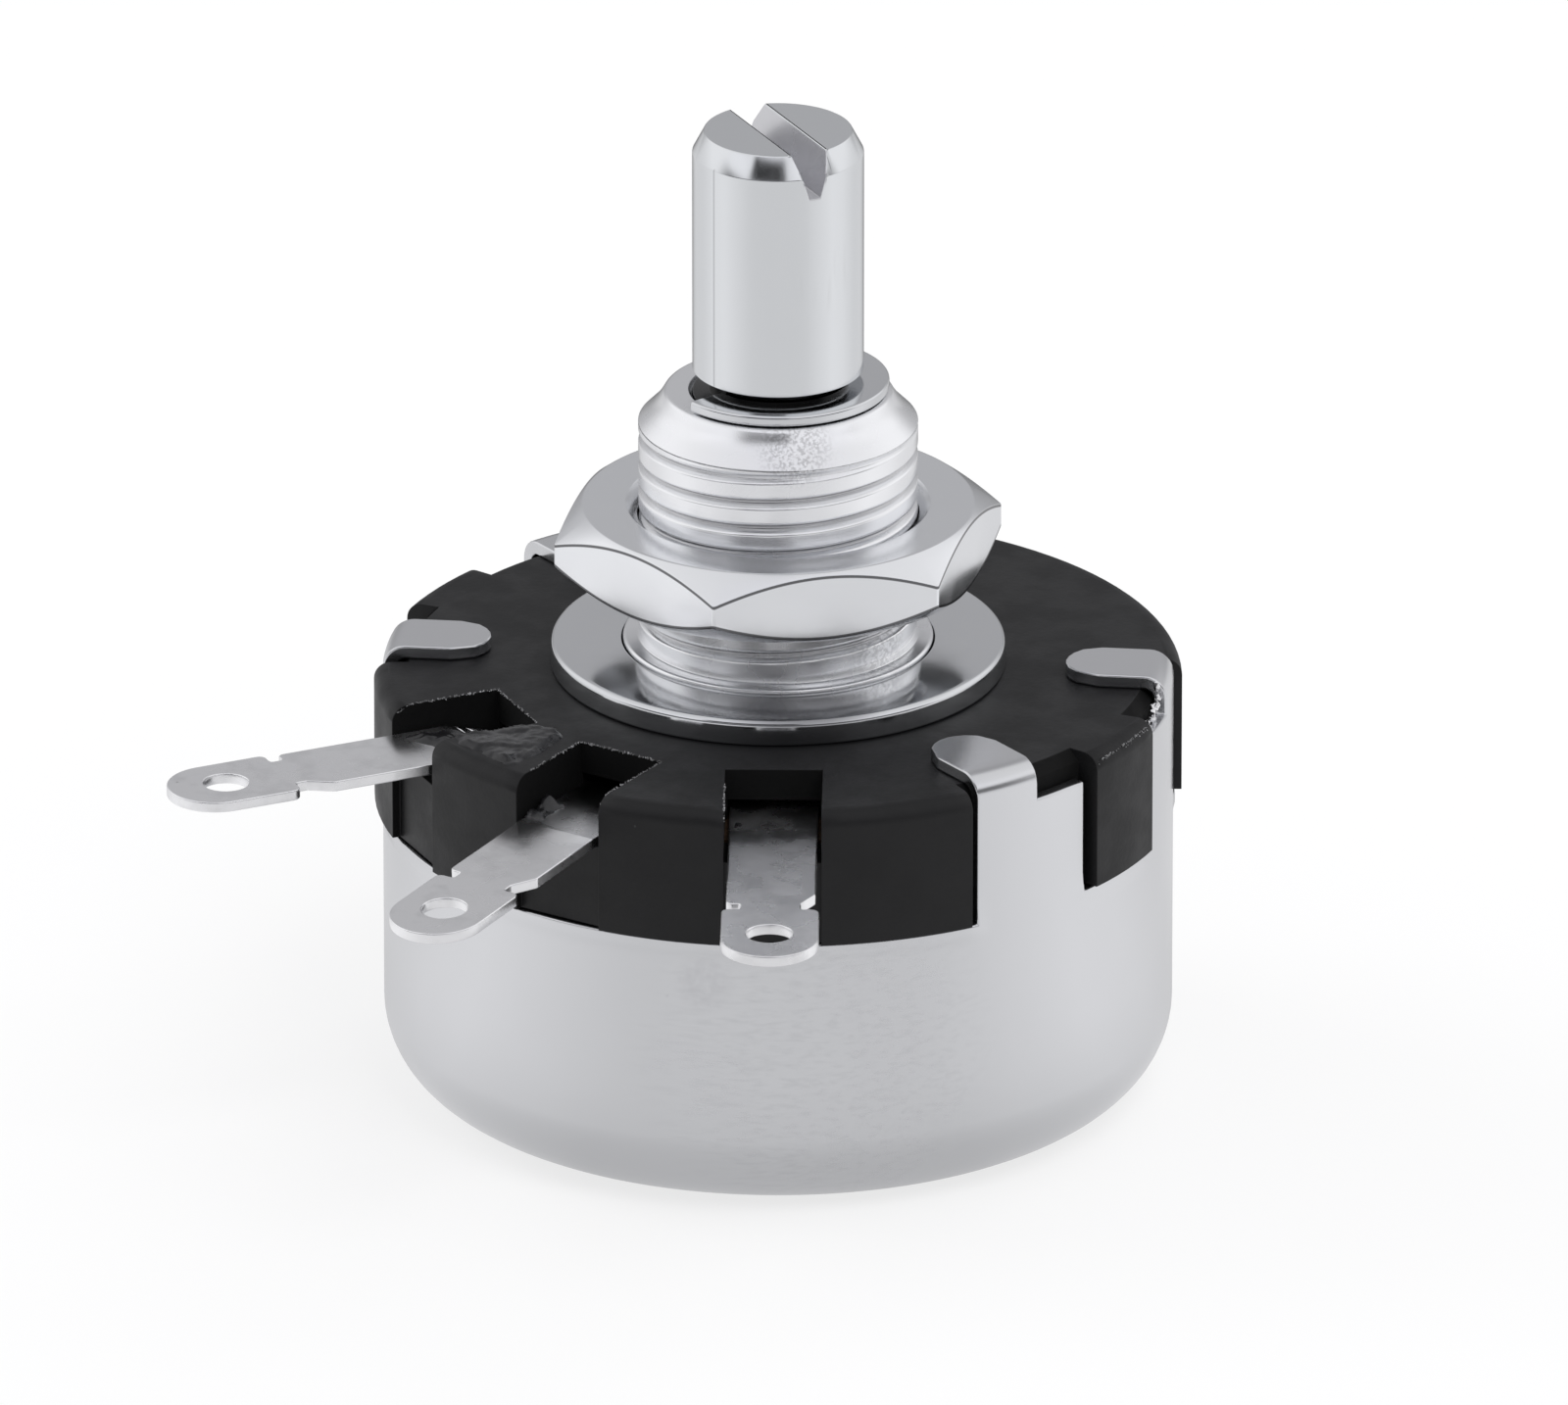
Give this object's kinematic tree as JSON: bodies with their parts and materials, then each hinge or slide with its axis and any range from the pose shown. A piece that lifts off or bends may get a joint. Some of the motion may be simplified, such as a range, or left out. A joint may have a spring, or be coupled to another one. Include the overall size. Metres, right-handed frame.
{
  "type": "rotary potentiometer",
  "caption": "Panel-mount rotary potentiometer: drawn steel can, black phenolic base with side lugs, threaded bush with nut and washer, and a screwdriver-slotted shaft.",
  "frame": {"origin": "centre of the can's flat back face, on the shaft's axis", "axes": "+Z along the shaft, out of the bush; the middle lug points along -Y"},
  "size_m": [0.0284, 0.0375, 0.0355],
  "materials": {
    "can_steel": "satin nickel plating on drawn steel",
    "nickel": "bright nickel plating",
    "tinned_lug": "tinned, satin, with bright sheared edges",
    "phenolic": "moulded phenolic, matte",
    "paper_board": "punched paper laminate",
    "carbon": "printed carbon",
    "silver": "printed silver",
    "fibre": "red vulcanised fibre",
    "bronze": "rolled spring bronze"
  },
  "bodies": {
    "housing": {"can": "can_steel", "base": "phenolic", "track_board": "paper_board", "carbon_track": "carbon", "silver_pad_left": "silver", "silver_pad_right": "silver", "collector_ring": "silver", "terminal_left": "tinned_lug", "terminal_middle": "tinned_lug", "terminal_right": "tinned_lug", "rivet_left": "tinned_lug", "rivet_middle": "tinned_lug", "rivet_right": "tinned_lug", "bush": "nickel", "washer": "nickel"},
    "rotor": {"shaft": "nickel", "retaining_clip": "nickel", "thrust_washer": "fibre", "rotor_disc": "phenolic", "stop_arm": "can_steel", "wiper_spring": "bronze", "track_brush": "carbon", "ring_brush": "carbon", "spring_rivet_left": "tinned_lug", "spring_rivet_right": "tinned_lug"},
    "nut": {"nut": "nickel"}
  },
  "joints": [
    {"name": "shaft_turn", "type": "hinge", "parent": "housing", "child": "rotor", "pos_m": [0, 0, 0.0155], "axis": [0, 0, 1], "range_deg": [-150, 150]},
    {"name": "nut_travel", "type": "slide", "parent": "housing", "child": "nut", "axis": [0, 0, 1], "range_m": [-0.0023, 0.0042]}
  ]
}
